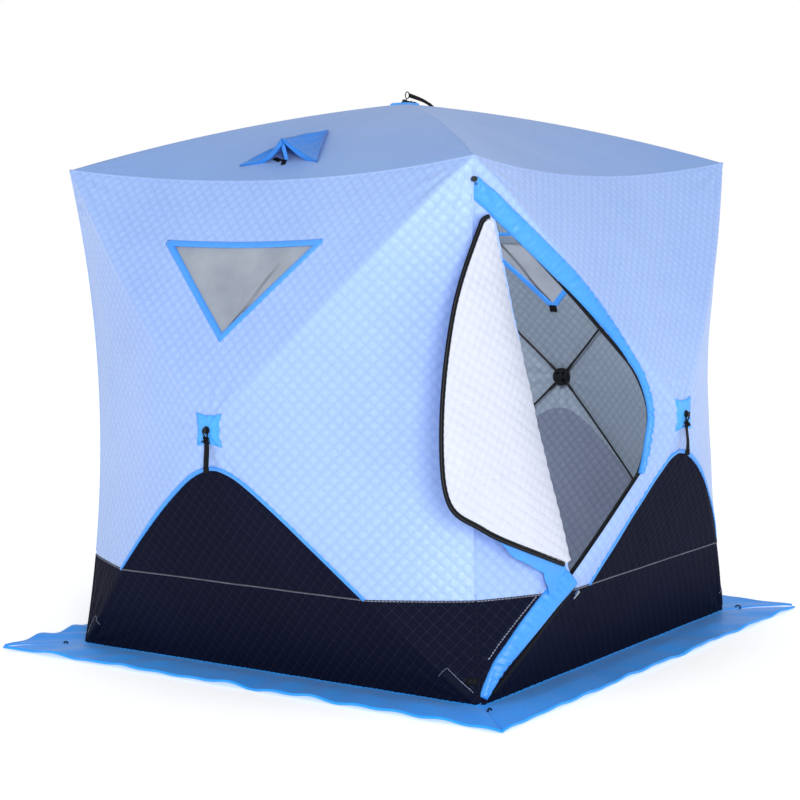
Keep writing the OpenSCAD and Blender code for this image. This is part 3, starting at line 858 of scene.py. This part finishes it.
# ---------------------------------------------------------------- ground and corners
def build_skirts():
    """Four strips on the ground; each corner is split, apart from the near one."""
    wide = SKIRT_OUT - SKIRT_IN
    for wall in WALLS:
        s = np.linspace(-1, 1, 181)[None]
        r = np.linspace(0, 1, 19)[:, None]
        draw = random.Random(WALLS.index(wall) + 31)
        hem = sum(np.sin(s * draw.uniform(9, 34) + draw.uniform(0, 6)) for _ in range(4)) / 4
        fold = sum(
            np.sin(s * draw.uniform(14, 46) + draw.uniform(-1, 1) * 2 * r + draw.uniform(0, 6))
            for _ in range(6)
        ) / 4
        n = SKIRT_IN + wide * r + 0.008 * hem * r**2
        tip = np.abs(s) ** 12
        near = {"front": -1, "left": 1}.get(wall, 0)
        joined = near * s > 0
        split = np.where(joined, -0.004, 0.004 + 0.020 * r**1.5)
        u = s * (n - split) + 0 * r
        n = n + 0.006 * tip * r
        height = 0.002 + 0.007 * r * (1 + fold) + 0.006 * np.clip(1 - np.abs(r - 0.5) * 2, 0, 1) * (1 + hem)
        lap = 0.002 if wall == "left" else 0
        height = height * (1 - 0.4 * tip) + 0.016 * np.clip(1 - r / 0.08, 0, 1) ** 2 + lap
        rim = 0.003 * np.clip((r - 0.93) / 0.03, 0, 1)
        top = to_world(wall, np.stack([u, height + 0.0025 + rim - HALF, n], -1))
        under = to_world(wall, np.stack([u, np.maximum(height - rim, 0.0006) - HALF, n], -1))
        skirt = slab(f"{wall}_skirt", top, under)
        dress(skirt, "skirt_cloth", ROOT, ["snow_skirt"])


def build_seams():
    """Welted seams down the corners and round the roof's edge."""
    q = np.linspace(-HALF, HALF, 121)
    for wall in WALLS:
        u, _, n = AXES[wall]
        side = cloth(wall, np.full_like(q, HALF), q)
        top = cloth(wall, q, np.full_like(q, HALF))
        low = q <= BAND_V + 0.004
        outs = {"corner": (n + u) / math.sqrt(2), "roof": (n + Z) / math.sqrt(2)}
        for name, line, out, width, key, slot in (
            ("corner_welt", side[~low], outs["corner"], 0.008, "welt", "quilted_cloth"),
            ("corner_welt_low", side[low], outs["corner"], 0.009, "dark_plain", "dark_cloth"),
            ("roof_welt", top, outs["roof"], 0.010, "welt", "roof_cloth"),
        ):
            dress(sweep(f"{wall}_{name}", line, out, width, 0.006, sides=8), key)
    trim("corner_tab", "left", [[0.862, -0.815], [0.897, -0.815]], 0.024, "black_webbing", "black_webbing",
         ROOT, lift=0.002, rise=0.004, step=0.005)


# ---------------------------------------------------------------- door
FLAP_PIVOT = np.array([-0.842503, 0.700219, 0.918425])
FLAP_X = np.array([0.238229, -0.965374, 0.106297])
FLAP_Z = np.array([-0.312895, 0.0273229, 0.949395])
FLAP_Y = np.cross(FLAP_Z, FLAP_X)
OPEN = math.radians(170)
FLAP_ACROSS = math.cos(OPEN) * FLAP_Y + math.sin(OPEN) * FLAP_Z
FLAP_OUT = -math.cos(OPEN) * FLAP_Z + math.sin(OPEN) * FLAP_Y
FLAP_NORMAL = to_world("front", FLAP_OUT) - to_world("front", np.zeros(3))
FOLD_LONG = 1.2845


def smooth_curve(points, per=30):
    """A curve through the points."""
    points = np.asarray(points, float)
    padded = np.vstack([2 * points[0] - points[1], points, 2 * points[-1] - points[-2]])
    found = []
    for a, b, c, d in zip(padded, padded[1:], padded[2:], padded[3:]):
        for s in np.linspace(0, 1, per, endpoint=False):
            square = 2 * a - 5 * b + 4 * c - d
            cube = 3 * b - a - 3 * c + d
            found.append(0.5 * (2 * b + (c - a) * s + square * s**2 + cube * s**3))
    found.append(points[-1])
    return np.array(found)


def fold_gap(x):
    """How far the cloth's edge stands off the straight fold line, x down from its top."""
    share = np.clip(x / FOLD_LONG, 0, 1)[..., None]
    spot = FOLD_TOP + share * (FOLD_FOOT - FOLD_TOP)
    edge = cloth("front", spot[..., 0], spot[..., 1], 0.003)
    line = to_world("front", FLAP_PIVOT + x[..., None] * FLAP_X)
    return edge - line


def flap_point(x, y, width, extra=0.0):
    """A point of the open flap: x down the fold, y across it, with the cloth's billow."""
    flat = to_world("front", FLAP_PIVOT + x[..., None] * FLAP_X + y[..., None] * FLAP_ACROSS)
    share = np.clip(y / np.maximum(width, 0.02), 0, 1)
    belly = np.sin(math.pi * np.clip(x / FOLD_LONG, 0, 1))
    billow = 0.016 * belly * np.sin(math.pi * share**0.8) + 0.006 * share * belly
    folds = 0.005 * belly * np.sin(6 * x + 9 * y) * share + 0.004 * np.sin(15 * x - 7 * y) * share * belly
    settle = np.exp(-y / 0.09)[..., None] * fold_gap(x)
    return flat + (0.004 + billow + folds + extra)[..., None] * FLAP_NORMAL + settle


def dress_flap(obj, look, replaces=()):
    """Paints a piece of the flap and bakes its placement into its mesh."""
    paint(obj, look, replaces)
    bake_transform(obj)


def build_flap():
    top, shoulder, belly = (-0.035, 0.010), (0.256, 0.288), (0.72, 0.508)
    heel, foot = (0.93, 0.375), (1.19, 0.035)
    line = smooth_curve([top, shoulder, belly, heel, foot])
    x = np.linspace(top[0], foot[0], 173)[:, None]
    width = np.interp(x, line[:, 0], line[:, 1])
    share = np.linspace(0, 1, 69)[None]
    y = share * width
    x = x + 0 * y
    quilt = pillow(x, y)
    calm = np.clip((1 - share) * width / 0.03, 0, 1)
    face = flap_point(x, y, width, 0.0028 * quilt * calm + 0.0012 * ripples(x, y, 77, 16, 20, 60) * calm)
    back = flap_point(x, y, width, -0.007 - 0.0022 * quilt * calm)
    faces = quads(face.shape[:2])
    lining = mesh_object("door_flap_lining", face.reshape(-1, 3), faces[:, ::-1], attribute={"quilt": quilt})
    dress_flap(lining, "door_lining", ["door_flap"])
    outer = mesh_object("door_flap_outer", back.reshape(-1, 3), faces, attribute={"quilt": quilt})
    dress_flap(outer, "quilted_cloth")
    build_flap_zip(line)
    build_flap_border(line)


def quads(shape):
    index = np.arange(shape[0] * shape[1]).reshape(shape)
    return np.stack([index[:-1, :-1], index[:-1, 1:], index[1:, 1:], index[1:, :-1]], -1).reshape(-1, 4)


def build_flap_zip(line):
    """The flap's half of the zip: its tape, and a coil on each side of the tape's middle."""
    line = resample(line, 0.006)
    wide = np.interp(line[:, 0], line[:, 0], line[:, 1])
    path = flap_point(line[:, 0], line[:, 1], wide, -0.002)
    side = np.cross(unit(np.gradient(path, axis=0)), FLAP_NORMAL)
    tape = sweep("flap_zip_tape", path, FLAP_NORMAL, 0.022, 0.007, sides=12)
    dress_flap(tape, "zip")
    coils = []
    for k, shift in enumerate((-0.0055, 0.0055)):
        beat = 0.0035 + 0.0005 * np.sin(np.arange(len(path)) * 1.7)
        coil = path + side * shift + FLAP_NORMAL * beat[:, None]
        coils.append(sweep(f"flap_zip_coil_{k}", coil, FLAP_NORMAL, 0.0028, 0.0034, sides=8))
    coil = join("flap_zip_coils", coils)
    dress_flap(coil, "zip_coil")


def build_flap_border(line):
    """The storm border beyond the lower part of the flap's zip."""
    start, end = 0.985, 1.284
    x = np.linspace(start, end, 91)[:, None]
    share = np.linspace(0, 1, 15)[None]
    inner = np.interp(x, line[:, 0], line[:, 1])
    wide = FLAP_BORDER_W * np.sin(math.pi * np.clip((x - start) / (end - start + 0.16), 0, 1)) ** 0.7
    y = np.maximum(inner, 0.004) - 0.012 + share * wide
    x = x + 0 * y
    wrinkle = 0.004 * np.sin(70 * x + 18 * y) * share + 0.004 * np.sin(31 * x - 40 * y) * share
    top = flap_point(x, y, y + 0.2, -0.010 - 0.02 * share + wrinkle)
    under = flap_point(x, y, y + 0.2, -0.0125 - 0.02 * share + wrinkle)
    border = slab("flap_storm_border", top, under)
    dress_flap(border, "storm_flap")


def build_door():
    """The wall's half of the zip, the storm flap over it, and the storm strip over the shut lower zip."""
    tape = ribbon("door_zip_tape", "front", door_outline(), 0.007, rise=0.002, under=-0.0095, step=0.008)
    shut = ribbon("door_zip_shut", "front", [FOLD_FOOT, [-0.85, -0.862]], 0.018, lift=0.003, step=0.008)
    zip_line = join("door_zip_line", [tape, shut])
    dress(zip_line, "zip", "front", ["door_zip"])
    # The storm flap's middle line down the front wall, and its width
    line = smooth_curve([
        [-0.908, 0.812, 0.058],
        [-0.821, 0.736, 0.066],
        [-0.671, 0.604, 0.066],
        [-0.520, 0.470, 0.064],
        [-0.385, 0.335, 0.044],
        [-0.303, 0.240, 0.032],
        [-0.233, 0.145, 0.026],
        [-0.196, 0.030, 0.024],
        [-0.208, -0.090, 0.026],
        [-0.238, -0.188, 0.016],
    ], 16)
    along = distance_along(line[:, :2])
    length = float(along[-1])
    flap = ribbon("storm_flap", "front", line[:, :2], STORM_FLAP_W, lift=0.004, rise=0.013, under=0.0,
                  step=0.006, across=12, ruffle=0.0035,
                  taper=lambda s: np.interp(s * length, along, line[:, 2]) / STORM_FLAP_W)
    dress(flap, "storm_flap", "front", ["door_storm_flap"])
    foot = smooth_curve([[-0.552, -0.508], [-0.625, -0.566], [-0.700, -0.638], [-0.776, -0.716],
                         [-0.846, -0.792], [-0.893, -0.868]], 20)
    strip = ribbon("storm_strip", "front", foot, STORM_STRIP_W, lift=0.006, rise=0.010, under=0.0, step=0.006,
                   across=12, ruffle=0.003, taper=lambda s: 0.92 - 0.62 * s**2.5)
    dress(strip, "storm_flap", "front")
    beside = foot[14:-22] + np.array([-0.033, 0.033])
    sew("storm_strip_stitches", "front", beside, "stitch", "dark_cloth", lift=0.004)


# ---------------------------------------------------------------- vent
def build_vent():
    """The hood: two panels from the peak that the prop holds up, each with a lip round the mouth."""
    corners = ((-0.797, 0.198), (-0.783, -0.143), (-0.483, 0.012))
    left, right, back = (cloth("roof", p, q, 0.005) for p, q in corners)
    peak = np.array([-0.746, 0.010, 1.8885])
    panels = []
    for name, end, droop, reach in (("left", left, 0.020, 0.55), ("right", right, 0.012, 0.9)):
        f = np.linspace(0, 1, 33)[:, None, None]
        r = np.linspace(0, 1, 33)[None, :, None]
        mouth = end + (peak - end) * f - Z * droop * np.sin(math.pi * f) + 0.02 * X * np.sin(math.pi * f)
        top = mouth + (back - mouth) * r
        top = top - Z * 0.010 * np.sin(math.pi * f) * np.sin(math.pi * r)
        top = top + Z * (0.0015 * np.sin(22 * f + 9 * r) + 0.016 * (1 - f) ** 2) * np.sin(math.pi * r)
        thick = 0.0010 + 0.0016 * np.clip((0.05 - r) / 0.02, 0, 1)
        panels.append(slab(f"hood_{name}", top + thick * Z, top - thick * Z))
        drop = np.linspace(0, 1, 6)[None, :, None]
        lip = mouth - Z * 0.020 * drop * np.sin(math.pi * np.clip(f * reach, 0, 1)) + 0.005 * drop * X
        panels.append(slab(f"hood_lip_{name}", lip - 0.001 * X, lip + 0.001 * X))
    hood = join("vent_hood_cloth", panels)
    dress(hood, "hood", ROOT, ["vent_hood"])
    tuple(cloth("roof", -0.70, 0.02, 0.004))
    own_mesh(hood)
    for k, (p, q, turn) in enumerate(((-0.745, 0.062, 1.1), (-0.765, 0.020, 0.5))):
        reach = 0.022 * np.array([math.cos(turn), math.sin(turn)])
        here = np.array([p, q])
        trim(f"roof_tab_{k}", "roof", [here - reach, here + reach], 0.018, "black_webbing", "black_webbing",
             ROOT, lift=0.003, rise=0.002, step=0.004)


# ---------------------------------------------------------------- finishing
def finish_cad():
    """Materials for the CAD nodes that are shown as they are."""
    slots = {
        "hub_pins": "steel",
        "pole_": "pole",
        "_hub": "black_plastic",
        "boots": "black_plastic",
        "anchor_loops": "black_webbing",
        "door_toggle": "black_plastic",
        "zip_slider": "steel",
        "vent_mesh": "mesh",
        "vent_prop": "blue_trim",
    }
    for name, obj in cad.items():
        for word, slot in slots.items():
            if word in name:
                if not obj.material_slots:
                    obj.data.materials.append(looks[slot])
                for place in obj.material_slots:
                    place.material = looks[slot]
                break


def add_light(name, place, aim, size, power, colour=(1, 1, 1)):
    data = bpy.data.lights.new(name, "AREA")
    data.shape = "DISK"
    data.size = size
    data.energy = power
    data.color = colour
    obj = bpy.data.objects.new(name, data)
    bpy.context.scene.collection.objects.link(obj)
    obj.location = place
    obj.rotation_euler = (Vector(aim) - Vector(place)).to_track_quat("-Z", "Y").to_euler()


def build_stage():
    """A pale sweep, white round the horizon and dimmer overhead, with soft lamps from the near corner."""
    far, low = 60, -0.002
    floor = mesh_object("floor", [[-far, -far, low], [far, -far, low], [far, far, low], [-far, far, low]],
                        [[0, 1, 2, 3]])
    made = Nodes("floor")
    greys = [(0.3, (0.88, 0.88, 0.88, 1)), (0.7, (0.90, 0.90, 0.90, 1))]
    made.drive("Base Color", made.ramp(made.noise(0.4), greys))
    made.set(Roughness=0.9, Emission_Color=(1.0, 0.99, 0.97, 1), Emission_Strength=0.42)
    floor.data.materials.append(made.material)
    world = bpy.data.worlds.new("studio")
    world.use_nodes = True
    tree = world.node_tree
    heading = tree.nodes.new("ShaderNodeTexCoord")
    split = tree.nodes.new("ShaderNodeSeparateXYZ")
    ramp = tree.nodes.new("ShaderNodeValToRGB")
    tree.links.new(heading.outputs["Generated"], split.inputs["Vector"])
    tree.links.new(split.outputs["Z"], ramp.inputs["Fac"])
    tree.links.new(ramp.outputs["Color"], tree.nodes["Background"].inputs["Color"])
    white_to, grey_from = ramp.color_ramp.elements
    white_to.position = 0.14
    white_to.color = (1.0, 1.0, 1.0, 1)
    grey_from.position = 0.50
    grey_from.color = (0.66, 0.68, 0.71, 1)
    bpy.context.scene.world = world
    add_light("key", (-7.0, -6.5, 2.2), (0, 0, 0.8), 2.2, 390)
    add_light("side", (-7.5, 2.5, 2.0), (0, 0, 0.8), 2.0, 14)
    add_light("inside", (0.1, -0.1, 1.6), (0.5, 0.2, 0.5), 0.9, 17, (0.96, 0.98, 1.0))
    bpy.context.scene.view_settings.view_transform = "Standard"


def build_camera():
    """The photograph's viewpoint."""
    place = (-6.0186, -4.2389, 1.6063)
    yaw, pitch, roll = 0.6185, -0.0958, -0.0157
    ahead = Vector((math.cos(yaw) * math.cos(pitch), math.sin(yaw) * math.cos(pitch), math.sin(pitch)))
    side = ahead.cross(Vector((0, 0, 1))).normalized()
    above = side.cross(ahead)
    right = math.cos(roll) * side + math.sin(roll) * above
    top = -math.sin(roll) * side + math.cos(roll) * above
    data = bpy.data.cameras.new("camera")
    data.sensor_width = 36
    data.lens = 85.5
    camera = bpy.data.objects.new("camera", data)
    bpy.context.scene.collection.objects.link(camera)
    rows = [(right[k], top[k], -ahead[k], place[k]) for k in range(3)]
    camera.matrix_world = Matrix((*rows, (0, 0, 0, 1)))
    bpy.context.scene.camera = camera


build_camera()
looks = make_looks()
for name in WALLS:
    build_wall(name)
    build_trims(name)
    build_strap(name)
build_roof()
build_patch("roof")
build_strap("roof")
for name in ("left", "right"):
    build_window(name)
build_skirts()
build_seams()
build_flap()
build_door()
build_vent()
finish_cad()
build_stage()
